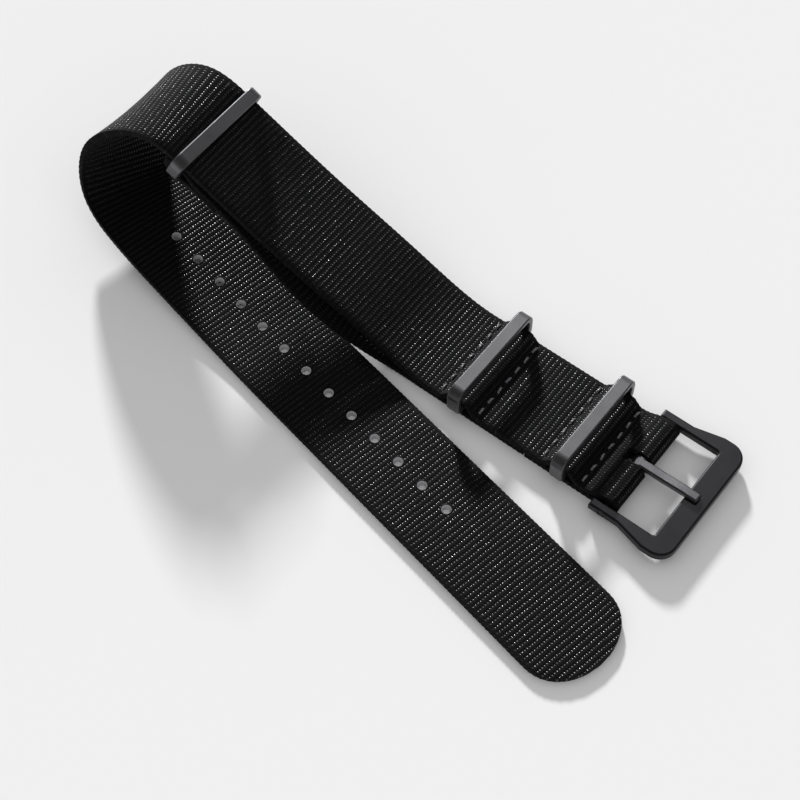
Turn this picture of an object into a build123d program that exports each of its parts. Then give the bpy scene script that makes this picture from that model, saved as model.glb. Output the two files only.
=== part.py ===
from build123d import *
from math import atan2, cos, radians, sin
import os

os.makedirs("parts", exist_ok=True)

# A pull-through watch strap of woven nylon webbing, lying on a table. The long strap is folded round
# the bar of a pin buckle and sewn back under itself. A short strap is sewn on beneath it. Three flat
# metal keepers hold the two together: two near the buckle and one at the far end of the short strap.
# The long strap goes through the third keeper, turns over in a wide loop and comes back as the tail.
# X runs along the upper run towards the buckle, Y across it, Z up. The origin lies on the table,
# under the centre line of the tail, midway between its last hole and its tip.

# Webbing
strap_width = 20.0
webbing = 1.3

# Places along the upper run
run_y = 31.2
keeper_1_x = -7.2
keeper_2_spacing = 22.6
keeper_3_spacing = 63.9
seam_offset = 4.2
fold_end_offset = 7.5
short_start_offset = 14.0
rise_offset = 6.0

# Wide loop and tail
loop_height = 24.4
loop_reach = 19.2
tail_turn_angle = 10.85
tail_flat = 57.0
tail_lift = 3.6
tail_lift_distance = 103.0
tip_distance = 19.25
tip_radius = 15.8
tip_corner_radius = 6.4
hole_radius = 0.9
hole_pitch = 6.39
hole_count = 13

# Keepers, bent and welded from flat strip
keeper_band = 2.6
keeper_wall = 1.2
keeper_height = 6.4
keeper_side_clearance = 0.35
keeper_top_radius = 2.2
keeper_foot_radius = 1.5
keeper_edge = 0.2
pocket_clearance = 0.35
layer_gap = 0.3
layer_press = 0.05
sewn_gap = 0.02

# Pin buckle
bar_offset = 10.3
bar_radius = 0.75
bar_recess = 0.1
bar_end_chamfer = 0.15
bar_running_clearance = 0.05
frame_clearance = 0.45
frame_thickness = 1.9
frame_arm = 1.8
frame_heel = 2.6
frame_heel_radius = 0.8
frame_length = 14.4
frame_front = 4.5
frame_flare = 1.4
frame_flare_length = 5.7
frame_flare_setback = 0.7
frame_flare_radius = 12.0
frame_corner_radius = 3.4
frame_window_radius = 0.5
frame_edge = 0.4

# Tongue
tongue_width = 1.9
tongue_thickness = 1.3
tongue_curl_wall = 0.85
tongue_overlap = 2.4
tongue_level = 3.5
tongue_edge = 0.3
tongue_seat_clearance = 0.05
notch_depth = 0.45
notch_side_clearance = 0.1
slot_width = 2.6
slot_heel = 2.6

# Fold of the short strap round the third keeper
fold_close = 5.0
fold_length = 10.5
fold_start = 0.6
sag_gap = 0.9
short_rise_delay = 2.5

overrun = 1.0

# Derived places
keeper_2_x = keeper_1_x - keeper_2_spacing
keeper_3_x = keeper_2_x - keeper_3_spacing
bar_x = keeper_1_x + bar_offset
loop_bore = bar_radius + bar_running_clearance
bar_z = webbing + layer_press + loop_bore
half_layer = webbing / 2
sewn_z = webbing + sewn_gap + half_layer
keeper_bar_z = webbing + pocket_clearance + keeper_wall / 2
hump_z = keeper_bar_z + keeper_wall / 2 + pocket_clearance + half_layer
keeper_width = strap_width + 2 * (keeper_side_clearance + keeper_wall)
rise_x = keeper_2_x - rise_offset
tail_turn = radians(tail_turn_angle)
side_plane = Plane(origin=(0, run_y, 0), x_dir=(1, 0, 0), z_dir=(0, -1, 0))
buckle_plane = Plane(origin=(bar_x, run_y, bar_z))
buckle_side = Plane(origin=(bar_x, run_y, bar_z), x_dir=(1, 0, 0), z_dir=(0, -1, 0))


def tail_point(back, height):
    """A point on the tail's centre line, back from the origin towards the loop."""
    return Vector(-back * cos(tail_turn), back * sin(tail_turn), height)


def s_curve(start, end):
    """A step of two equal arcs between two level stretches of a side view."""
    middle = ((start[0] + end[0]) / 2, (start[1] + end[1]) / 2)
    run = end[0] - start[0]
    TangentArc(start, middle, tangent=(run, 0))
    TangentArc(end, middle, tangent=(-run, 0))


# Centre line of the long strap from its last seam, up through the third keeper, round the loop
# and down to the table. Shares give each point along the reach, across to the tail, and up.
loop_side = tail_point(tail_lift_distance, half_layer + tail_lift)
side_shift = loop_side.Y - run_y
rise_shares = ((0.30, 0.275), (0.64, 0.565), (1.0, 0.922))
bend_shares = ((0.38, 0.05, 1.03), (0.84, 0.24, 0.87), (1.0, 0.48, 0.55), (0.82, 0.76, 0.25))
tail_share = 0.65
loop_points = [Vector(rise_x, run_y, sewn_z)]
for along, up in rise_shares:
    loop_points.append(Vector(rise_x + along * (keeper_3_x - rise_x), run_y, up * loop_height))
for along, across, up in bend_shares:
    spot = (keeper_3_x - along * loop_reach, run_y + across * side_shift, up * loop_height)
    loop_points.append(Vector(*spot))
loop_points.append(loop_side)
sloping = tail_share * (tail_lift_distance - tail_flat)
loop_points.append(tail_point(tail_flat + sloping, half_layer + tail_share**2 * tail_lift))
loop_points.append(tail_point(tail_flat, half_layer))
tail_direction = Vector(cos(tail_turn), -sin(tail_turn), 0)
with BuildLine() as loop_line:
    Spline(*loop_points, tangents=(Vector(-1, 0, 0), tail_direction))
loop_edge = loop_line.edges()[0]
turn_shares = (0.52, 0.7)
stage_shares = (0, 0.38, 0.55, 0.72, 1)
stage_counts = (8, 11, 11, 6)


def loop_plane(share):
    """The plane across the long strap at a share of the loop's centre line."""
    tangent = loop_edge % share
    turned = (share - turn_shares[0]) / (turn_shares[1] - turn_shares[0])
    turned = tail_turn * min(1, max(0, turned))
    across = Vector(sin(turned), cos(turned), 0)
    across = (across - tangent * across.dot(tangent)).normalized()
    return Plane(origin=loop_edge @ share, x_dir=across, z_dir=tangent)


# Third keeper: it stands square to the strap where the strap passes through it
crossing = loop_points[len(rise_shares)]
crossing_share = loop_edge.param_at_point(crossing)
crossing_tangent = loop_edge % crossing_share
slope = atan2(crossing_tangent.Z, -crossing_tangent.X)
keeper_3_drop = webbing + layer_gap + webbing + pocket_clearance + keeper_wall / 2 - half_layer
keeper_3_bar = crossing - Vector(sin(slope), 0, cos(slope)) * keeper_3_drop


def keeper_3_local(along, up):
    """A side-view point given along the strap towards the buckle, and square to it."""
    x = keeper_3_bar.X + along * cos(slope) + up * sin(slope)
    z = keeper_3_bar.Z - along * sin(slope) + up * cos(slope)
    return (x, z)


# Long strap
with BuildPart() as main_strap:
    with BuildSketch(side_plane):
        with BuildLine():
            bore_line = loop_bore + half_layer
            CenterArc((bar_x, bar_z), bore_line, -90, 180)
            s_curve((bar_x, bar_z + bore_line), (keeper_1_x + seam_offset, sewn_z))
            level_x = keeper_1_x + seam_offset
            for keeper_x in (keeper_1_x, keeper_2_x):
                if level_x > keeper_x + seam_offset:
                    Line((level_x, sewn_z), (keeper_x + seam_offset, sewn_z))
                s_curve((keeper_x + seam_offset, sewn_z), (keeper_x + keeper_band / 2, hump_z))
                Line((keeper_x + keeper_band / 2, hump_z), (keeper_x - keeper_band / 2, hump_z))
                s_curve((keeper_x - keeper_band / 2, hump_z), (keeper_x - seam_offset, sewn_z))
                level_x = keeper_x - seam_offset
            Line((level_x, sewn_z), (rise_x, sewn_z))
        trace(line_width=webbing)
    extrude(amount=strap_width / 2, both=True)
    # End folded back beneath
    with BuildSketch(side_plane):
        with BuildLine():
            Line((keeper_1_x - fold_end_offset, bar_z - bore_line), (bar_x, bar_z - bore_line))
        trace(line_width=webbing)
    extrude(amount=strap_width / 2, both=True)
    # Slot for the tongue, punched through the fold
    slot_length = slot_heel + bore_line + webbing
    with Locations((bar_x - slot_heel + slot_length / 2, run_y, bar_z)):
        Box(slot_length, slot_width, 2 * (bar_z + overrun), mode=Mode.SUBTRACT)
    # Rise, wide loop and the lifted part of the tail
    for start, end, count in zip(stage_shares, stage_shares[1:], stage_counts):
        for n in range(count + 1):
            with BuildSketch(loop_plane(start + (end - start) * n / count)):
                Rectangle(strap_width, webbing)
        loft(ruled=True)
    # Flat part of the tail with its rounded tip
    with BuildSketch(Plane.XY.rotated((0, 0, -tail_turn_angle))) as tail_sketch:
        with BuildLine():
            tip_start = tip_distance - tip_radius + (tip_radius**2 - (strap_width / 2) ** 2) ** 0.5
            near_corner = (tip_start, -strap_width / 2)
            far_corner = (tip_start, strap_width / 2)
            Polyline(near_corner, (-tail_flat, -strap_width / 2), (-tail_flat, strap_width / 2), far_corner)
            ThreePointArc(far_corner, (tip_distance, 0), near_corner)
        make_face()
        tip_corners = tail_sketch.vertices().group_by(Axis.X)[-1]
        fillet(tip_corners, tip_corner_radius)
    extrude(amount=webbing)
    # Holes, punched and heat-sealed
    with BuildSketch(Plane.XY.rotated((0, 0, -tail_turn_angle))):
        hole_places = [(-tip_distance - n * hole_pitch, 0) for n in range(hole_count)]
        with Locations(*hole_places):
            Circle(hole_radius)
    extrude(amount=tail_lift + 2 * webbing, mode=Mode.SUBTRACT)
main_strap.part.label = "main_strap"
export_step(main_strap.part, "parts/main_strap.step")

# Short strap, hanging just below the long one, folded round the foot of the third keeper and sewn
sag_shares = (0.2, 0.38, 0.6)
sag_points = []
for share in sag_shares:
    above = loop_edge @ (share * crossing_share)
    lean = loop_edge % (share * crossing_share)
    drop = webbing + sag_gap
    sag_points.append((above.X - lean.Z * drop, above.Z + lean.X * drop))
with BuildPart() as short_strap:
    with BuildSketch(side_plane):
        fold_line = keeper_wall / 2 + pocket_clearance + half_layer
        cap = keeper_band / 2 + pocket_clearance - (fold_line - half_layer)
        lower_line = half_layer - layer_press
        with BuildLine():
            level_end = (rise_x - short_rise_delay, half_layer)
            upper_close = keeper_3_local(fold_length, half_layer)
            Line((keeper_2_x + short_start_offset, half_layer), level_end)
            Spline(level_end, *sag_points, upper_close, tangents=((-1, 0), (-cos(slope), sin(slope))))
            Line(upper_close, keeper_3_local(fold_close, half_layer))
            fold_half = (fold_close - fold_start) / 2
            Bezier(
                keeper_3_local(fold_close, half_layer),
                keeper_3_local(fold_close - fold_half, half_layer),
                keeper_3_local(fold_start + fold_half, fold_line),
                keeper_3_local(fold_start, fold_line),
            )
            Line(keeper_3_local(fold_start, fold_line), keeper_3_local(-cap, fold_line))
            ThreePointArc(
                keeper_3_local(-cap, fold_line),
                keeper_3_local(-cap - fold_line, 0),
                keeper_3_local(-cap, -fold_line),
            )
        trace(line_width=webbing)
    extrude(amount=strap_width / 2, both=True)
    # End folded back beneath
    with BuildSketch(side_plane):
        with BuildLine():
            Line(keeper_3_local(-cap, -fold_line), keeper_3_local(fold_start, -fold_line))
            Bezier(
                keeper_3_local(fold_start, -fold_line),
                keeper_3_local(fold_start + fold_half, -fold_line),
                keeper_3_local(fold_close - fold_half, -lower_line),
                keeper_3_local(fold_close, -lower_line),
            )
            Line(keeper_3_local(fold_close, -lower_line), keeper_3_local(fold_length, -lower_line))
        trace(line_width=webbing)
    extrude(amount=strap_width / 2, both=True)
short_strap.part.label = "short_strap"
export_step(short_strap.part, "parts/short_strap.step")


def keeper_plane(x, z, lean):
    """A plane across the strap, at the middle of a keeper's foot."""
    return Plane(origin=(x, run_y, z), x_dir=(0, 1, 0), z_dir=(cos(lean), 0, -sin(lean)))


# Keepers
keeper_planes = {
    "keeper_1": keeper_plane(keeper_1_x, keeper_bar_z, 0),
    "keeper_2": keeper_plane(keeper_2_x, keeper_bar_z, 0),
    "keeper_3": keeper_plane(keeper_3_bar.X, keeper_3_bar.Z, slope),
}
for name, plane in keeper_planes.items():
    with BuildPart() as keeper:
        with BuildSketch(plane):
            for inset, mode in ((0, Mode.ADD), (keeper_wall, Mode.SUBTRACT)):
                with BuildSketch(mode=Mode.PRIVATE) as ring:
                    with Locations((0, (keeper_height - keeper_wall) / 2)):
                        Rectangle(keeper_width - 2 * inset, keeper_height - 2 * inset)
                    fillet(ring.vertices().group_by(Axis.Y)[-1], keeper_top_radius - inset)
                    fillet(ring.vertices().group_by(Axis.Y)[0], keeper_foot_radius - inset)
                add(ring.sketch, mode=mode)
        extrude(amount=keeper_band / 2, both=True)
        rims = keeper.faces().group_by(SortBy.AREA)[-1].edges()
        chamfer(rims, keeper_edge)
    keeper.part.label = name
    export_step(keeper.part, "parts/" + name + ".step")


# Buckle frame, blanked from flat strip and tumbled round
heel_side = strap_width / 2 + frame_clearance + frame_arm
front_side = heel_side + frame_flare
window_side = strap_width / 2 + frame_clearance
window_end = frame_length - frame_front
flare_end = window_end - frame_flare_setback
flare_start = flare_end - frame_flare_length
tongue_reach = window_end + tongue_overlap
with BuildPart() as buckle_frame:
    with BuildSketch(buckle_plane):
        with BuildSketch(mode=Mode.PRIVATE) as plan:
            with BuildLine():
                Polyline((-frame_heel, 0), (-frame_heel, heel_side), (flare_start, heel_side))
                Line((flare_start, heel_side), (flare_end, front_side))
                Polyline((flare_end, front_side), (frame_length, front_side), (frame_length, 0))
                Line((frame_length, 0), (-frame_heel, 0))
            make_face()
            mirror(about=Plane.XZ)
            heel_corners, flare_starts, flare_ends, front_corners = plan.vertices().group_by(Axis.X)
            fillet(front_corners, frame_corner_radius)
            fillet(heel_corners, frame_heel_radius)
            fillet(flare_starts + flare_ends, frame_flare_radius)
        add(plan.sketch)
        with BuildSketch(mode=Mode.PRIVATE) as window:
            with Locations((window_end / 2 - frame_heel, 0)):
                Rectangle(window_end + 2 * frame_heel, 2 * window_side)
            fillet(window.vertices().group_by(Axis.X)[-1], frame_window_radius)
        add(window.sketch, mode=Mode.SUBTRACT)
    extrude(amount=frame_thickness / 2, both=True)
    fillet(buckle_frame.edges().filter_by(Axis.Z, reverse=True), frame_edge)
    # Notch for the tongue's tip, and the holes for the bar
    notch_start = window_end - overrun
    notch_length = tongue_reach + notch_side_clearance - notch_start
    frame_top = bar_z + frame_thickness / 2
    with Locations((bar_x + notch_start + notch_length / 2, run_y, frame_top)):
        Box(notch_length, tongue_width + 2 * notch_side_clearance, 2 * notch_depth, mode=Mode.SUBTRACT)
    with Locations(Location((bar_x, run_y, bar_z), (90, 0, 0))):
        Cylinder(bar_radius, 2 * (heel_side + overrun), mode=Mode.SUBTRACT)
buckle_frame.part.label = "buckle_frame"
export_step(buckle_frame.part, "parts/buckle_frame.step")

# Bar, pressed into both arms
with BuildPart() as buckle_bar:
    with Locations(Location((bar_x, run_y, bar_z), (90, 0, 0))):
        Cylinder(bar_radius, 2 * (heel_side - bar_recess))
    chamfer(buckle_bar.edges().filter_by(GeomType.CIRCLE), bar_end_chamfer)
buckle_bar.part.label = "buckle_bar"
export_step(buckle_bar.part, "parts/buckle_bar.step")

# Tongue, its end curled round the bar and its tip resting in the notch
with BuildPart() as tongue:
    curl_radius = loop_bore + tongue_curl_wall
    prong_z = curl_radius - tongue_thickness / 2
    tip_z = frame_thickness / 2 - notch_depth + tongue_seat_clearance + tongue_thickness / 2
    with BuildSketch(buckle_side):
        with BuildLine():
            Line((0, prong_z), (tongue_level, prong_z))
            s_curve((tongue_level, prong_z), (window_end, tip_z))
            Line((window_end, tip_z), (tongue_reach, tip_z))
        trace(line_width=tongue_thickness)
    extrude(amount=tongue_width / 2, both=True)
    long_edges = tongue.faces().sort_by(Axis.Y)[0].edges() + tongue.faces().sort_by(Axis.Y)[-1].edges()
    tip_edges = tongue.faces().sort_by(Axis.X)[-1].edges()
    chamfer(long_edges + tip_edges, tongue_edge)
    with Locations(Location((bar_x, run_y, bar_z), (90, 0, 0))):
        Cylinder(curl_radius, tongue_width)
        Cylinder(loop_bore, tongue_width, mode=Mode.SUBTRACT)
tongue.part.label = "tongue"
export_step(tongue.part, "parts/tongue.step")
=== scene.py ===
import bpy
import math
import numpy as np
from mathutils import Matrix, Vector


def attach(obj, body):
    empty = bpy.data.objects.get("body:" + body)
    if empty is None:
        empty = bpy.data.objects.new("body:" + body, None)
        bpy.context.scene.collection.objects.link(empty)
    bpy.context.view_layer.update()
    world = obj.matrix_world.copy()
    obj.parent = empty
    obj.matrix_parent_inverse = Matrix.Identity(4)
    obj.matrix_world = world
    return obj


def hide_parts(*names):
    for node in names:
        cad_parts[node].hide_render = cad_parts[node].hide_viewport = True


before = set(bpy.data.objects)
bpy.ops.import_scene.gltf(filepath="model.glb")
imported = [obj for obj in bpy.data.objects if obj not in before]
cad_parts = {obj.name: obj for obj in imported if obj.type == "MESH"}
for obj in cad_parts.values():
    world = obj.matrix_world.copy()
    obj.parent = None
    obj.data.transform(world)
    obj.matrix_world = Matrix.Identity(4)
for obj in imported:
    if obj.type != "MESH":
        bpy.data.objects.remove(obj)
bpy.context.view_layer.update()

# Long strap. One length of ballistic nylon webbing, woven in cross ribs and cut with a hot knife,
# so its tip and its punched holes are sealed. Its end goes round the buckle's bar and lies back
# beneath, sewn on both sides of each keeper's foot; the rest turns over in a loop and lies flat.

# the webbing's width and thickness, and the places that it passes, all in metres
strap_width = 0.0200
webbing = 0.0013
upper_run_y = 0.0312
keeper_spots = (-0.0072, -0.0298)
keeper_half_band = 0.0013
seam_reach = 0.0042
bar_x, bar_z = 0.0031, 0.00215
turn_radius = 0.00145
fold_end_x = -0.0147
sewn_z = 0.00197
hump_z = 0.00385
band_gap = 0.001
rise_x = -0.0358
# the tail: its turn to the near side, its tip and its holes
tail_turn = math.radians(10.85)
tip_reach = 0.01925
tip_radius = 0.0158
tip_shoulder = 0.0064 * 0.82
tip_roundness = 2.35
tip_end = 0.0002
hole_pitch = 0.00639
hole_count = 13
# the hot punch is a little tapered, and it goes in from the tail's upper face
punch_radius_above, punch_radius_beneath = 0.0009 * 1.1, 0.0009 * 0.72
punch_depth = webbing * 1.6
ring_start, ring_end = 0.00105, 0.00125
# the slot for the tongue, and the weave
slot_width, slot_depth = 0.0026, 0.006
slot_heel = 0.0026
slot_extra = 0.0003
rib_pitch = 0.00105
rib_depth = 0.00005
rib_pull = 0.006
float_pitch = 0.00057
row_step = -0.27
grid_step = 0.00025
selvage_bevel = 0.00028
selvage_start, selvage_end = 0.0009, 0.0006
fold_steps, turn_steps, band_steps, tail_steps = 30, 24, 12, 40


def side_line(points):
    """Points of a side view, as places on the upper run."""
    return [Vector((x, upper_run_y, z)) for x, z in points]


def bezier_side(start, end, steps=14):
    """A smooth step between two level stretches of the side view."""
    pull = (end[0] - start[0]) / 2
    shape = []
    for n in range(1, steps + 1):
        t = n / steps
        a, b, c, d = (1 - t) ** 3, 3 * t * (1 - t) ** 2, 3 * t * t * (1 - t), t**3
        x = a * start[0] + b * (start[0] + pull) + c * (end[0] - pull) + d * end[0]
        shape.append((x, (a + b) * start[1] + (c + d) * end[1]))
    return shape


def smooth_route(points, first_direction, last_direction, steps):
    """A cubic line through the points with no break in its bend, and its share at each step."""
    spots = np.array([tuple(p) for p in points])
    gaps = np.linalg.norm(np.diff(spots, axis=0), axis=1)
    count = len(spots)
    matrix, known = np.zeros((count, count)), np.zeros((count, 3))
    matrix[0, 0] = matrix[-1, -1] = 1
    known[0], known[-1] = first_direction, last_direction
    for n in range(1, count - 1):
        before, after = gaps[n - 1], gaps[n]
        matrix[n, n - 1 : n + 2] = after, 2 * (before + after), before
        rise = (spots[n + 1] - spots[n]) * before / after
        rise = rise + (spots[n] - spots[n - 1]) * after / before
        known[n] = 3 * rise
    slopes = np.linalg.solve(matrix, known)
    knots = np.concatenate([[0], np.cumsum(gaps)])
    line = []
    for n in range(steps + 1):
        place = knots[-1] * n / steps
        k = min(int(np.searchsorted(knots, place, side="right")) - 1, count - 2)
        h = gaps[k]
        t = (place - knots[k]) / h
        spot = (
            (2 * t**3 - 3 * t**2 + 1) * spots[k]
            + (t**3 - 2 * t**2 + t) * h * slopes[k]
            + (-2 * t**3 + 3 * t**2) * spots[k + 1]
            + (t**3 - t**2) * h * slopes[k + 1]
        )
        line.append((Vector(spot), n / steps))
    return line


def tail_spot(back, height):
    """A point on the tail's centre line, back from the origin towards the loop."""
    return Vector((-back * math.cos(tail_turn), back * math.sin(tail_turn), height))


half = webbing / 2
route = []
for n in range(fold_steps + 1):
    route.append((fold_end_x + n * (bar_x - fold_end_x) / fold_steps, bar_z - turn_radius))
for n in range(1, turn_steps + 1):
    angle = math.pi * n / turn_steps - math.pi / 2
    route.append((bar_x + turn_radius * math.cos(angle), bar_z + turn_radius * math.sin(angle)))
turn_end = len(route) - 1
route += bezier_side(route[-1], (keeper_spots[0] + seam_reach, sewn_z))
for keeper_x in keeper_spots:
    start_x, stop_x = route[-1][0], keeper_x + seam_reach
    if start_x > stop_x + band_gap:
        for n in range(1, band_steps + 1):
            route.append((start_x + n * (stop_x - start_x) / band_steps, sewn_z))
    route += bezier_side(route[-1], (keeper_x + keeper_half_band, hump_z))
    route += [(keeper_x, hump_z), (keeper_x - keeper_half_band, hump_z)]
    route += bezier_side(route[-1], (keeper_x - seam_reach, sewn_z))
route += [(rise_x, sewn_z)]
places = [(p, Vector((0, 1, 0))) for p in side_line(route)]

keeper_3_x = -0.0937
loop_height, loop_reach = 0.0244, 0.0192
tail_flat, tail_lift_distance, tail_lift = 0.057, 0.103, 0.0036
tail_lift_middle = 0.65
turning_start, turning_share = 0.52, 0.18
loop_steps = 300
# the rise to the third keeper: shares of the way along, and of the loop's height
rise_shape = ((0.30, 0.275), (0.64, 0.565), (1.0, 0.922))
# the loop: shares of its reach, of its shift to the side, and of its height
loop_shape = ((0.38, 0.05, 1.03), (0.84, 0.24, 0.87), (1.0, 0.48, 0.55), (0.82, 0.76, 0.25))
side_shift = tail_spot(tail_lift_distance, 0).y - upper_run_y
loop_spots = [Vector((rise_x, upper_run_y, sewn_z))]
for along, up in rise_shape:
    rise_spot = (rise_x + along * (keeper_3_x - rise_x), upper_run_y, up * loop_height)
    loop_spots.append(Vector(rise_spot))
for along, across, up in loop_shape:
    loop_spot = (
        keeper_3_x - along * loop_reach,
        upper_run_y + across * side_shift,
        up * loop_height,
    )
    loop_spots.append(Vector(loop_spot))
tail_middle = tail_flat + tail_lift_middle * (tail_lift_distance - tail_flat)
loop_spots.append(tail_spot(tail_lift_distance, half + tail_lift))
loop_spots.append(tail_spot(tail_middle, half + tail_lift_middle**2 * tail_lift))
loop_spots.append(tail_spot(tail_flat, half))
tail_direction = (math.cos(tail_turn), -math.sin(tail_turn), 0)
for spot, share in smooth_route(loop_spots, (-1, 0, 0), tail_direction, loop_steps)[1:]:
    turned = tail_turn * min(1, max(0, (share - turning_start) / turning_share))
    places.append((spot, Vector((math.sin(turned), math.cos(turned), 0))))
loop_end = len(places) - 1
for n in range(1, tail_steps + 1):
    back = tail_flat - n * (tail_flat + tip_reach) / tail_steps
    places.append((tail_spot(back, half), places[-1][1]))


class Route:
    """The webbing's centre line, measured along the cloth, with its square directions."""

    def __init__(self, places):
        self.spots = np.array([tuple(p) for p, a in places])
        self.across = np.array([tuple(a) for p, a in places])
        steps = np.linalg.norm(np.diff(self.spots, axis=0), axis=1)
        self.reach = np.concatenate([[0], np.cumsum(steps)])
        self.length = float(self.reach[-1])
        self.tangents = np.gradient(self.spots, self.reach, axis=0)

    def at(self, along):
        """The centre, the direction across and the outward direction, some way along the cloth."""
        found = []
        for rows in (self.spots, self.tangents, self.across):
            found.append(Vector([np.interp(along, self.reach, rows[:, k]) for k in range(3)]))
        spot, tangent, across = found
        tangent.normalize()
        across = (across - tangent * across.dot(tangent)).normalized()
        return spot, across, across.cross(tangent)

    def along_at(self, index):
        """How far along the cloth one of its points lies."""
        return float(self.reach[index])


long_route = Route(places)
origin_along = long_route.length - tip_reach


def linear(code):
    """An sRGB hex colour as linear values."""
    parts = [int(code[n : n + 2], 16) / 255 for n in (1, 3, 5)]
    return tuple(c / 12.92 if c <= 0.04045 else ((c + 0.055) / 1.055) ** 2.4 for c in parts) + (1,)


def add_node(tree, kind, settings=None, links=None):
    """Adds a shader node, sets its options and inputs, and links its inputs."""
    node = tree.nodes.new(kind)
    for key, value in (settings or {}).items():
        if isinstance(key, str) and hasattr(node, key):
            setattr(node, key, value)
        else:
            node.inputs[key].default_value = value
    for key, socket in (links or {}).items():
        tree.links.new(socket, node.inputs[key])
    return node


def new_material(name):
    """A material with an empty tree, its surface shader and its output."""
    material = bpy.data.materials.new(name)
    material.use_nodes = True
    tree = material.node_tree
    tree.nodes.clear()
    shader = add_node(tree, "ShaderNodeBsdfPrincipled")
    add_node(tree, "ShaderNodeOutputMaterial", links={"Surface": shader.outputs["BSDF"]})
    return material, tree, shader


def woven_strip(name, route, tip=None):
    """A flat strip of webbing, its weave mapped in metres, before it is laid along its route."""
    bpy.ops.object.select_all(action="DESELECT")
    columns = int(route.length / grid_step)
    bpy.ops.mesh.primitive_grid_add(x_subdivisions=columns, y_subdivisions=12, size=1)
    strip = bpy.context.object
    strip.name = strip.data.name = name
    for vertex in strip.data.vertices:
        along, side = (vertex.co.x + 0.5) * route.length, vertex.co.y * 2
        reach = tip(along) if tip else strap_width / 2
        vertex.co = (along, side * reach, 0)
    weave_map = strip.data.uv_layers[0]
    weave_map.name = "weave"
    for loop in strip.data.loops:
        spot = strip.data.vertices[loop.vertex_index].co
        weave_map.data[loop.index].uv = (spot.x, spot.y)
    wall = strip.modifiers.new("thickness", "SOLIDIFY")
    wall.thickness, wall.offset = webbing, 0
    edge = strip.modifiers.new("selvage", "BEVEL")
    edge.width, edge.segments, edge.angle_limit = selvage_bevel, 2, math.radians(60)
    for modifier in (wall.name, edge.name):
        bpy.ops.object.modifier_apply(modifier=modifier)
    return strip


# the punched holes' walls: nylon melted by the hot punch, smooth and a little glossy, with runs 0.4
# mm wide in it; their pale grey is painted light, standing in for the lit table seen through the
# holes
hole_walls_lit_paint, sealed_tree, sealed_shader = new_material("heat_sealed_walls_painted_light")
sealed_shader.inputs["Roughness"].default_value = 0.4
sealed_place = add_node(sealed_tree, "ShaderNodeTexCoord")
melt = add_node(sealed_tree, "ShaderNodeTexNoise", {"Scale": 2500, "Detail": 2},
                {"Vector": sealed_place.outputs["Object"]})
painted_light_tone = add_node(sealed_tree, "ShaderNodeMix", {"data_type": "RGBA"},
                     {"Factor": melt.outputs["Fac"]})
painted_light_tone.inputs["A"].default_value = linear("#a6a6a8")
painted_light_tone.inputs["B"].default_value = linear("#bdbdbf")
sealed_tree.links.new(painted_light_tone.outputs["Result"], sealed_shader.inputs["Base Color"])


def punch(strip, cutters):
    """Joins the cutters and cuts them out of a strip, which keeps their material on its walls."""
    bpy.ops.object.select_all(action="DESELECT")
    for cutter in cutters:
        cutter.select_set(True)
    bpy.context.view_layer.objects.active = cutters[0]
    bpy.ops.object.join()
    tool = bpy.context.object
    bpy.ops.object.transform_apply()
    bpy.ops.object.select_all(action="DESELECT")
    strip.select_set(True)
    bpy.context.view_layer.objects.active = strip
    cut = strip.modifiers.new("punch", "BOOLEAN")
    cut.operation, cut.object, cut.solver = "DIFFERENCE", tool, "EXACT"
    cut.material_mode = "TRANSFER"
    bpy.ops.object.modifier_apply(modifier=cut.name)
    bpy.data.objects.remove(tool)


def lay_along(strip, route):
    """Presses the cross ribs into the flat strip and lays it along its route."""
    for vertex in strip.data.vertices:
        along, side, height = vertex.co
        rib = 0.5 + 0.5 * math.cos(2 * math.pi * along / rib_pitch)
        spot, across, outward = route.at(along)
        height -= math.copysign(rib_depth * (1 - rib), height)
        selvage = 1 - rib_pull * (1 - rib)
        vertex.co = spot + across * (side * selvage) + outward * height
    strip.data.update()
    bpy.ops.object.select_all(action="DESELECT")
    strip.select_set(True)
    bpy.context.view_layer.objects.active = strip
    bpy.ops.object.shade_smooth_by_angle(angle=math.radians(50))


def tip_half_width(along):
    """Half the long strap's width: whole as far as the tip, then its sealed round end."""
    past = along - origin_along
    reach = strap_width / 2
    arc_x = tip_reach - tip_radius
    square_x = arc_x + math.sqrt(tip_radius**2 - reach**2)
    shoulder_x = square_x - tip_shoulder
    if past <= shoulder_x:
        return reach
    t = (past - shoulder_x) / (tip_reach - shoulder_x)
    return max(tip_end, reach * (1 - t**tip_roundness) ** 0.5)


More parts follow.
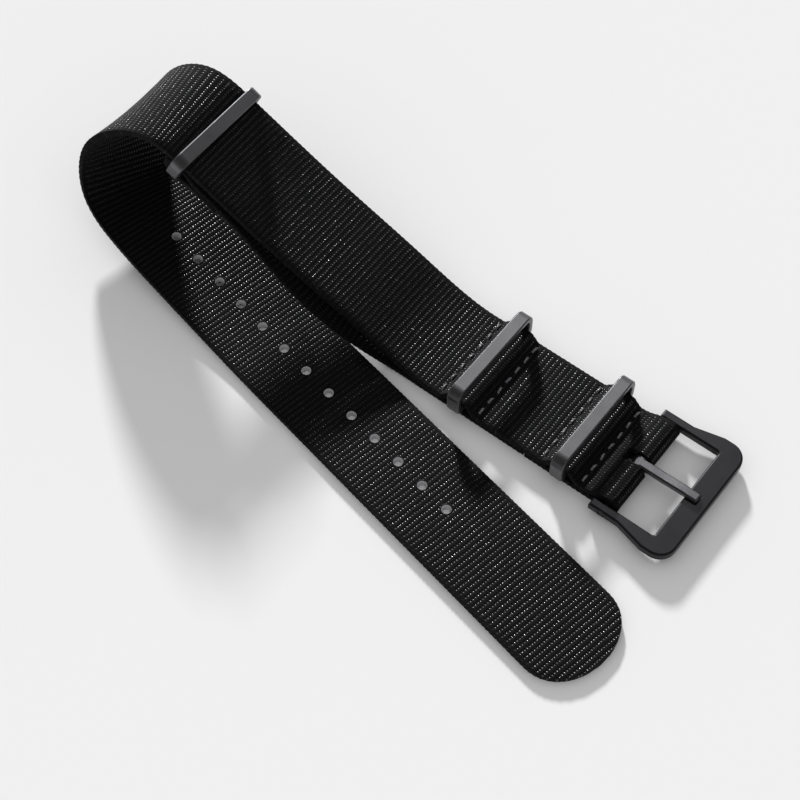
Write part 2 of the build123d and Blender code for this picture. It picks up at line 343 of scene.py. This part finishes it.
def webbing_material(name, holes=False):
    """Black ballistic nylon: bundles of fine glossy filaments, woven one up and one down."""
    material, tree, shader = new_material(name)
    shader.inputs["Specular IOR Level"].default_value = 0.42
    weave = add_node(tree, "ShaderNodeUVMap", {"uv_map": "weave"})
    # the yarns wander by about 0.06 mm, and some lie flatter than others
    drift = add_node(tree, "ShaderNodeTexNoise", {"Scale": 260, "Detail": 2},
                     {"Vector": weave.outputs["UV"]})
    moved = add_node(tree, "ShaderNodeMixRGB", {"blend_type": "LINEAR_LIGHT", 0: 0.00012},
                     {1: weave.outputs["UV"], 2: drift.outputs["Color"]})
    apart = add_node(tree, "ShaderNodeSeparateXYZ", links={"Vector": moved.outputs["Color"]})
    uneven = add_node(tree, "ShaderNodeTexNoise", {"Scale": 900, "Detail": 1},
                      {"Vector": weave.outputs["UV"]})
    # floats 0.57 mm apart across the strap, one row to a rib, each row 0.27 of that further on
    ribs = add_node(tree, "ShaderNodeMath", {"operation": "DIVIDE", 1: rib_pitch},
                    {0: apart.outputs["X"]})
    row = add_node(tree, "ShaderNodeMath", {"operation": "ROUND"}, {0: ribs.outputs[0]})
    yarns = add_node(tree, "ShaderNodeMath", {"operation": "DIVIDE", 1: float_pitch},
                     {0: apart.outputs["Y"]})
    yarns = add_node(tree, "ShaderNodeMath", {"operation": "MULTIPLY_ADD", 1: row_step},
                     {0: row.outputs[0], 2: yarns.outputs[0]})
    crests = []
    for count, power in ((ribs, 1.6), (yarns, 0.4)):
        angle = add_node(tree, "ShaderNodeMath", {"operation": "MULTIPLY", 1: 2 * math.pi},
                         {0: count.outputs[0]})
        turned = add_node(tree, "ShaderNodeMath", {"operation": "COSINE"}, {0: angle.outputs[0]})
        lifted = add_node(tree, "ShaderNodeMath", {"operation": "MULTIPLY_ADD", 1: 0.5, 2: 0.5},
                          {0: turned.outputs[0]})
        crests.append(add_node(tree, "ShaderNodeMath", {"operation": "POWER", 1: power},
                               {0: lifted.outputs[0]}))
    floats = add_node(tree, "ShaderNodeMath", {"operation": "MULTIPLY"},
                      {0: crests[0].outputs[0], 1: crests[1].outputs[0]})
    shown = add_node(tree, "ShaderNodeMath", {"operation": "MULTIPLY_ADD", 1: 0.8, 2: 0.6},
                     {0: uneven.outputs["Fac"]})
    shown = add_node(tree, "ShaderNodeMath", {"operation": "MULTIPLY"},
                     {0: floats.outputs[0], 1: shown.outputs[0]})
    # the selvage: a flatter edge 0.6 to 0.9 mm wide, where the weft turns back
    side = add_node(tree, "ShaderNodeMath", {"operation": "ABSOLUTE"}, {0: apart.outputs["Y"]})
    edge_y = strap_width / 2
    inner = add_node(tree, "ShaderNodeMapRange",
                     {"From Min": edge_y - selvage_start, "From Max": edge_y - selvage_end,
                      "To Min": 1.0, "To Max": 0.4}, {"Value": side.outputs[0]})
    shown = add_node(tree, "ShaderNodeMath", {"operation": "MULTIPLY"},
                     {0: shown.outputs[0], 1: inner.outputs["Result"]})
    if holes:
        # a melted ring, flat and without floats, round each punched hole
        first = origin_along - tip_reach + hole_pitch / 2
        repeat = add_node(tree, "ShaderNodeMath", {"operation": "SUBTRACT", 1: first},
                          {0: apart.outputs["X"]})
        repeat = add_node(tree, "ShaderNodeMath", {"operation": "FLOORED_MODULO", 1: hole_pitch},
                          {0: repeat.outputs[0]})
        repeat = add_node(tree, "ShaderNodeMath", {"operation": "SUBTRACT", 1: hole_pitch / 2},
                          {0: repeat.outputs[0]})
        spot = add_node(tree, "ShaderNodeCombineXYZ",
                        links={"X": repeat.outputs[0], "Y": apart.outputs["Y"]})
        reach = add_node(tree, "ShaderNodeVectorMath", {"operation": "LENGTH"},
                         {0: spot.outputs[0]})
        ring = add_node(tree, "ShaderNodeMapRange", {"From Min": ring_start, "From Max": ring_end},
                        {"Value": reach.outputs["Value"]})
        last = origin_along - tip_reach - (hole_count - 0.5) * hole_pitch
        after = add_node(tree, "ShaderNodeMath", {"operation": "GREATER_THAN", 1: last},
                         {0: apart.outputs["X"]})
        before = add_node(tree, "ShaderNodeMath", {"operation": "LESS_THAN", 1: first},
                          {0: apart.outputs["X"]})
        within = add_node(tree, "ShaderNodeMath", {"operation": "MULTIPLY"},
                          {0: after.outputs[0], 1: before.outputs[0]})
        sealed = add_node(tree, "ShaderNodeMath", {"operation": "SUBTRACT", 0: 1.0},
                          {1: ring.outputs["Result"]})
        sealed = add_node(tree, "ShaderNodeMath", {"operation": "MULTIPLY"},
                          {0: sealed.outputs[0], 1: within.outputs[0]})
        bare = add_node(tree, "ShaderNodeMath", {"operation": "SUBTRACT", 0: 1.0},
                        {1: sealed.outputs[0]})
        shown = add_node(tree, "ShaderNodeMath", {"operation": "MULTIPLY"},
                         {0: shown.outputs[0], 1: bare.outputs[0]})
    # the weave's base colour is darker in the valleys between the floats: painted shade, where the
    # yarns shadow each other
    colour = add_node(tree, "ShaderNodeMix", {"data_type": "RGBA"}, {"Factor": shown.outputs[0]})
    colour.inputs["A"].default_value = linear("#020203")
    colour.inputs["B"].default_value = linear("#131316")
    tree.links.new(colour.outputs["Result"], shader.inputs["Base Color"])
    gloss = add_node(tree, "ShaderNodeMapRange",
                     {"From Min": 0.3, "From Max": 0.66, "To Min": 1.0, "To Max": 0.2},
                     {"Value": shown.outputs[0]})
    tree.links.new(gloss.outputs["Result"], shader.inputs["Roughness"])
    fine = add_node(tree, "ShaderNodeTexNoise", {"Scale": 9000, "Detail": 1},
                    {"Vector": weave.outputs["UV"]})
    relief = add_node(tree, "ShaderNodeMath", {"operation": "MULTIPLY_ADD", 1: 0.1},
                      {0: fine.outputs["Fac"], 2: shown.outputs[0]})
    bump = add_node(tree, "ShaderNodeBump", {"Strength": 1.0, "Distance": 0.0002},
                    {"Height": relief.outputs[0]})
    tree.links.new(bump.outputs["Normal"], shader.inputs["Normal"])
    return material


long_strap = woven_strip("long_strap", long_route, tip_half_width)
long_strap.data.materials.append(webbing_material("ballistic_nylon", holes=True))
cutters = []
for n in range(hole_count):
    along = origin_along - tip_reach - n * hole_pitch
    bpy.ops.mesh.primitive_cone_add(
        vertices=28,
        radius1=punch_radius_above,
        radius2=punch_radius_beneath,
        depth=punch_depth,
        location=(along, 0, 0),
    )
    # the walls take a pale grey: painted light, for the lit table seen through the holes
    bpy.context.object.data.materials.append(hole_walls_lit_paint)
    cutters.append(bpy.context.object)
# the slot through which the tongue comes out of the fold round the bar
slot_start = long_route.along_at(fold_steps) - slot_heel
slot_end = long_route.along_at(turn_end) + slot_heel + slot_extra
bpy.ops.mesh.primitive_cube_add(size=1, location=((slot_start + slot_end) / 2, 0, 0))
bpy.context.object.scale = (slot_end - slot_start, slot_width, slot_depth)
bpy.context.object.data.materials.append(long_strap.data.materials[0])
cutters.append(bpy.context.object)
punch(long_strap, cutters)
lay_along(long_strap, long_route)
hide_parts("main_strap")
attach(long_strap, "strap")

# Short strap. A second length of the same nylon webbing, sewn beneath the long one between the
# first two keepers. It hangs slack below it, to the near side, goes round the third keeper's foot
# and is sewn back on itself.

# the third keeper's foot, and how far the upper run slopes there
foot_x, foot_z = -0.095137, 0.0196375
slope = math.radians(26.68)
short_start_x, short_level_x = -0.0151, -0.0383
fold_close, fold_start, fold_length = 0.0050, 0.0006, 0.0105
fold_cap, fold_line = 0.0007, 0.0016
level_steps, hanging_steps, sewn_steps = 40, 120, 10
slack_side, slack_roll = 0.0024, math.radians(3)
slack_start, slack_end = -0.040, -0.0845


def near_foot(points):
    """Side-view points given along the cloth from the third keeper's foot, and square to it."""
    turned = []
    for along, up in points:
        x = foot_x + along * math.cos(slope) + up * math.sin(slope)
        turned.append((x, foot_z - along * math.sin(slope) + up * math.cos(slope)))
    return turned


level = []
for n in range(level_steps + 1):
    level.append((short_start_x + n * (short_level_x - short_start_x) / level_steps, half))
knots = [level[-1], (-0.0486, 0.0023), (-0.0589, 0.0060), (-0.0716, 0.0107)]
knots += near_foot([(fold_length, half)])
foot_direction = (-math.cos(slope), 0, math.sin(slope))
hanging = smooth_route(side_line(knots), (-1, 0, 0), foot_direction, hanging_steps)
short_places = [(p, Vector((0, 1, 0))) for p in side_line(level[:-1])]
for spot, share in hanging:
    # its slack falls to the near side, and its near edge droops
    between = min(1, max(0, (spot.x - slack_start) / (slack_end - slack_start)))
    slack = math.sin(math.pi * between) ** 2
    roll = slack_roll * slack
    spot.y -= slack_side * slack
    short_places.append((spot, Vector((0, math.cos(roll), math.sin(roll)))))
sewn_step = (fold_length - fold_close) / sewn_steps
fold = [(fold_length - n * sewn_step, half) for n in range(1, sewn_steps + 1)]
fold += bezier_side(fold[-1], (fold_start, fold_line))
fold += [(0.0, fold_line), (-fold_cap, fold_line)]
for n in range(1, turn_steps + 1):
    angle = math.pi / 2 + math.pi * n / turn_steps
    fold.append((-fold_cap + fold_line * math.cos(angle), fold_line * math.sin(angle)))
fold += [(0.0, -fold_line), (fold_start, -fold_line)]
fold += bezier_side(fold[-1], (fold_close, -half))
fold += [(fold_close + n * sewn_step, -half) for n in range(1, sewn_steps + 1)]
short_places += [(p, Vector((0, 1, 0))) for p in side_line(near_foot(fold))]
short_route = Route(short_places)
short_strap = woven_strip("short_strap_cloth", short_route)
short_strap.data.materials.append(webbing_material("ballistic_nylon_under"))
lay_along(short_strap, short_route)
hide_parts("short_strap")
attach(short_strap, "strap")

# Seams. Bonded nylon thread, two plies twisted together, in a row of lock stitches across the strap
# on each side of a keeper's foot and at the short strap's fold. Every row shows above and beneath.
stitch_length, stitch_radius, stitch_pitch = 0.0016, 0.00022, 0.00275
stitch_count = 7
stitch_lean, stitch_dip, stitch_stand = 0.00012, 0.00026, 0.85
lean_step, end_roundness = 2.4, 6
ply_bulge, ply_twist = 0.16, 7.0
# how much of its radius a pulled-in stitch has sunk into the cloth
pulled_in = 0.9
table_clearance = 0.00016
seam_places = (-0.0030, -0.0112, -0.0256, -0.0338)
fold_seam, fold_seam_top, fold_seam_beneath = 0.0085, 0.0013, -0.00125


def seam_row(name, top, across, outward, along, sink):
    """A row of stitches centred on a spot of the cloth's surface, their ends dipping into it."""
    stitches = []
    for n in range(stitch_count):
        bpy.ops.object.select_all(action="DESELECT")
        bpy.ops.mesh.primitive_grid_add(x_subdivisions=28, y_subdivisions=16, size=2)
        stitch = bpy.context.object
        middle = (n - (stitch_count - 1) / 2) * stitch_pitch
        lean = stitch_lean * math.sin(n * lean_step)
        for vertex in stitch.data.vertices:
            run, turn = vertex.co.x, (vertex.co.y + 1) * math.pi
            ply = 1 + ply_bulge * math.cos(2 * turn - run * ply_twist)
            reach = stitch_radius * ply * max(0.0, 1 - run**end_roundness) ** 0.5
            side = middle + run * stitch_length / 2
            shift = lean * run - reach * math.cos(turn)
            height = stitch_radius * (stitch_stand - sink) - stitch_dip * run * run
            height += reach * math.sin(turn)
            vertex.co = top + across * side + along * shift + outward * height
        stitches.append(stitch)
    bpy.ops.object.select_all(action="DESELECT")
    for stitch in stitches:
        stitch.select_set(True)
    bpy.context.view_layer.objects.active = stitches[0]
    bpy.ops.object.join()
    row = bpy.context.object
    row.name = row.data.name = name
    bpy.ops.object.mode_set(mode="EDIT")
    bpy.ops.mesh.select_all(action="SELECT")
    bpy.ops.mesh.remove_doubles(threshold=0.000002)
    bpy.ops.mesh.normals_make_consistent(inside=False)
    bpy.ops.object.mode_set(mode="OBJECT")
    bpy.ops.object.shade_smooth()
    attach(row, "strap")
    return row


rows = []
down = Vector((0, 0, -1))
side_on = Vector((0, 1, 0))
upper_run = slice(turn_end + 1, loop_end)
for number, seam_x in enumerate(seam_places, 1):
    run_x, run_reach = long_route.spots[upper_run, 0], long_route.reach[upper_run]
    spot, across, outward = long_route.at(float(np.interp(-seam_x, -run_x, run_reach)))
    top = spot + outward * half
    ahead = across.cross(outward)
    rows.append(seam_row(f"seam_{number}_top", top, side_on, outward, ahead, 0))
    # the stitches beneath are pulled in, and stand just proud of the cloth on the table
    top = Vector((seam_x, upper_run_y, table_clearance))
    ahead = Vector((1, 0, 0))
    rows.append(seam_row(f"seam_{number}_beneath", top, side_on, down, ahead, pulled_in))
for name, height, sink in (
    ("seam_5_top", fold_seam_top, pulled_in),
    ("seam_5_beneath", fold_seam_beneath, 0),
):
    x, z = near_foot([(fold_seam, height)])[0]
    outward = Vector((math.sin(slope), 0, math.cos(slope))) * (1 if height > 0 else -1)
    top = Vector((x, upper_run_y, z))
    rows.append(seam_row(name, top, side_on, outward, side_on.cross(outward), sink))
thread, thread_tree, thread_shader = new_material("bonded_nylon_thread")
thread_shader.inputs["Roughness"].default_value = 0.3
thread_shader.inputs["Specular IOR Level"].default_value = 0.6
place = add_node(thread_tree, "ShaderNodeTexCoord")
# filaments 0.05 mm wide
filaments = add_node(thread_tree, "ShaderNodeTexNoise", {"Scale": 9000, "Detail": 2},
                     {"Vector": place.outputs["Object"]})
shade = add_node(thread_tree, "ShaderNodeMix", {"data_type": "RGBA"},
                 {"Factor": filaments.outputs["Fac"]})
shade.inputs["A"].default_value = linear("#3a3a3d")
shade.inputs["B"].default_value = linear("#8c8c90")
thread_tree.links.new(shade.outputs["Result"], thread_shader.inputs["Base Color"])
fuzz = add_node(thread_tree, "ShaderNodeBump", {"Strength": 0.6, "Distance": 0.00005},
                {"Height": filaments.outputs["Fac"]})
thread_tree.links.new(fuzz.outputs["Normal"], thread_shader.inputs["Normal"])
for row in rows:
    row.data.materials.clear()
    row.data.materials.append(thread)

# Keepers. Each is a ring bent from flat steel strip and welded at the foot, blasted to a satin
# face and coated dark like the buckle; its grey is painted lighter than the buckle's, a painted
# reflection of the light its long top face catches, and its edges carry a painted highlight.
# The first two sit in sewn pockets, and the third at the end of the short strap.


def coated_steel(name, dark, light, edge_colour, rough):
    """Blasted steel under a thin dark coating, with its own grain, and a painted highlight at its
    edges.
    """
    material, tree, shader = new_material(name)
    shader.inputs["Metallic"].default_value = 0.9
    place = add_node(tree, "ShaderNodeTexCoord")
    # blasted grain 0.1 mm wide, and a cloudier variation about 3 mm wide
    grain = add_node(tree, "ShaderNodeTexNoise", {"Scale": 7000, "Detail": 3},
                     {"Vector": place.outputs["Object"]})
    cloud = add_node(tree, "ShaderNodeTexNoise", {"Scale": 300, "Detail": 2},
                     {"Vector": place.outputs["Object"]})
    tone = add_node(tree, "ShaderNodeMix", {"data_type": "RGBA"}, {"Factor": cloud.outputs["Fac"]})
    tone.inputs["A"].default_value = linear(dark)
    tone.inputs["B"].default_value = linear(light)
    # edges: a rounded normal differs from the flat one within 0.15 mm of an edge
    soft = add_node(tree, "ShaderNodeBevel", {"samples": 4, "Radius": 0.00015})
    flat = add_node(tree, "ShaderNodeNewGeometry")
    apart = add_node(tree, "ShaderNodeVectorMath", {"operation": "DOT_PRODUCT"},
                     {0: soft.outputs[0], 1: flat.outputs["Normal"]})
    # a painted highlight: a lighter colour within 0.15 mm of an edge, broken up by the grain
    edge_glint = add_node(tree, "ShaderNodeMapRange",
                    {"From Min": 0.995, "From Max": 0.9, "To Min": 0.0, "To Max": 0.8},
                    {"Value": apart.outputs["Value"]})
    edge_glint = add_node(tree, "ShaderNodeMath", {"operation": "MULTIPLY"},
                    {0: edge_glint.outputs["Result"], 1: grain.outputs["Fac"]})
    paint = add_node(tree, "ShaderNodeMix", {"data_type": "RGBA"}, {"Factor": edge_glint.outputs[0]})
    tree.links.new(tone.outputs["Result"], paint.inputs["A"])
    paint.inputs["B"].default_value = linear(edge_colour)
    tree.links.new(paint.outputs["Result"], shader.inputs["Base Color"])
    gloss = add_node(tree, "ShaderNodeMapRange", {"To Min": rough - 0.05, "To Max": rough + 0.07},
                     {"Value": grain.outputs["Fac"]})
    tree.links.new(gloss.outputs["Result"], shader.inputs["Roughness"])
    relief = add_node(tree, "ShaderNodeBump", {"Strength": 0.25, "Distance": 0.00003},
                      {"Height": grain.outputs["Fac"], "Normal": soft.outputs[0]})
    tree.links.new(relief.outputs["Normal"], shader.inputs["Normal"])
    return material


# the keepers' grey is lighter than the buckle's same coating: a painted reflection
keeper_steel = coated_steel("satin_coated_keeper_steel", "#606062", "#707072", "#98989b", 0.42)
for name in ("keeper_1", "keeper_2", "keeper_3"):
    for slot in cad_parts[name].material_slots:
        slot.material = keeper_steel

# Buckle frame. It is blanked from steel strip, tumbled round and coated; its front bar is left bare
# of the engraving that the photographed one has.
buckle_steel = coated_steel("satin_coated_buckle_steel", "#303032", "#3a3a3c", "#6d6d70", 0.38)
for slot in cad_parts["buckle_frame"].material_slots:
    slot.material = buckle_steel

# Buckle bar. A round pin of the same steel, pressed into both arms of the frame before both were
# coated; the long strap's fold and the tongue turn on it.
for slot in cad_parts["buckle_bar"].material_slots:
    slot.material = buckle_steel

# Tongue. A flat steel prong curled round the bar, its tip resting in the front bar's notch; it is
# coated as the frame is, but painted a lighter grey than the frame: a painted highlight along it.
# a lighter grey than the frame's: painted highlight
tongue_steel = coated_steel("satin_coated_tongue_steel", "#58585b", "#67676a", "#a2a2a5", 0.3)
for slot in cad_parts["tongue"].material_slots:
    slot.material = tongue_steel

# Floor. A smooth pale table top, painted and matt, which takes the strap's soft shadow; the strap
# lies loose on it.
bpy.ops.object.select_all(action="DESELECT")
bpy.ops.mesh.primitive_plane_add(size=6)
table = bpy.context.object
table.name = "table_top"
table_paint, _, table_shader = new_material("pale_table")
table_shader.inputs["Base Color"].default_value = linear("#efefef")
table_shader.inputs["Roughness"].default_value = 0.9
table_shader.inputs["Specular IOR Level"].default_value = 0
table.data.materials.append(table_paint)

# Lights. A soft key, low over the table from behind; a strip box for the metal; and a pale room
# whose darker side is what glossy surfaces mirror.
bpy.ops.object.light_add(type="SUN")
key = bpy.context.object
key.name = "key_light"
key.data.energy = 4.3
key.data.angle = math.radians(5.5)
camera_turn = math.radians(37.77)
from_left = math.radians(9)
light_turn = camera_turn + from_left
light_height = math.radians(19.3)
towards = Vector((
    -math.sin(light_turn) * math.cos(light_height),
    math.cos(light_turn) * math.cos(light_height),
    math.sin(light_height),
))
key.rotation_mode = "QUATERNION"
key.rotation_quaternion = towards.to_track_quat("Z", "Y")
# a strip box behind the buckle, which only the keepers' tops and the buckle mirror
bpy.ops.object.light_add(type="AREA")
strip_box = bpy.context.object
strip_box.name = "strip_box"
strip_box.data.shape = "RECTANGLE"
strip_box.data.size, strip_box.data.size_y = 0.13, 0.07
strip_box.data.energy = 0.13
strip_box.visible_diffuse = False
strip_box.location = (-0.100, 0.190, 0.285)
strip_box.rotation_mode = "QUATERNION"
strip_aim = Vector((-0.018, 0.031, 0))
strip_box.rotation_quaternion = (strip_box.location - strip_aim).to_track_quat("Z", "Y")
world = bpy.context.scene.world or bpy.data.worlds.new("room")
bpy.context.scene.world = world
world.use_nodes = True
world.node_tree.nodes.clear()
seen = add_node(world.node_tree, "ShaderNodeLightPath")
strength = add_node(world.node_tree, "ShaderNodeMapRange", {"To Min": 0.56, "To Max": 0.09},
                    {"Value": seen.outputs["Is Glossy Ray"]})
room = add_node(world.node_tree, "ShaderNodeBackground", {"Color": linear("#ffffff")},
                {"Strength": strength.outputs[0]})
add_node(world.node_tree, "ShaderNodeOutputWorld", links={"Surface": room.outputs[0]})

# Camera. It stands where the strap's holes, keepers and edges fall as they do in the photograph.
bpy.ops.object.camera_add()
camera = bpy.context.object
camera.name = "camera"
camera.data.sensor_width = 36
camera.data.lens = 81.47
camera.data.clip_start, camera.data.clip_end = 0.01, 20
camera.location = (0.06589, -0.11909, 0.28204)
aim = Vector((-0.03956, 0.01701, 0.0))
camera.rotation_mode = "QUATERNION"
camera.rotation_quaternion = (camera.location - aim).to_track_quat("Z", "Y")
bpy.context.scene.camera = camera
bpy.context.scene.view_settings.view_transform = "Standard"
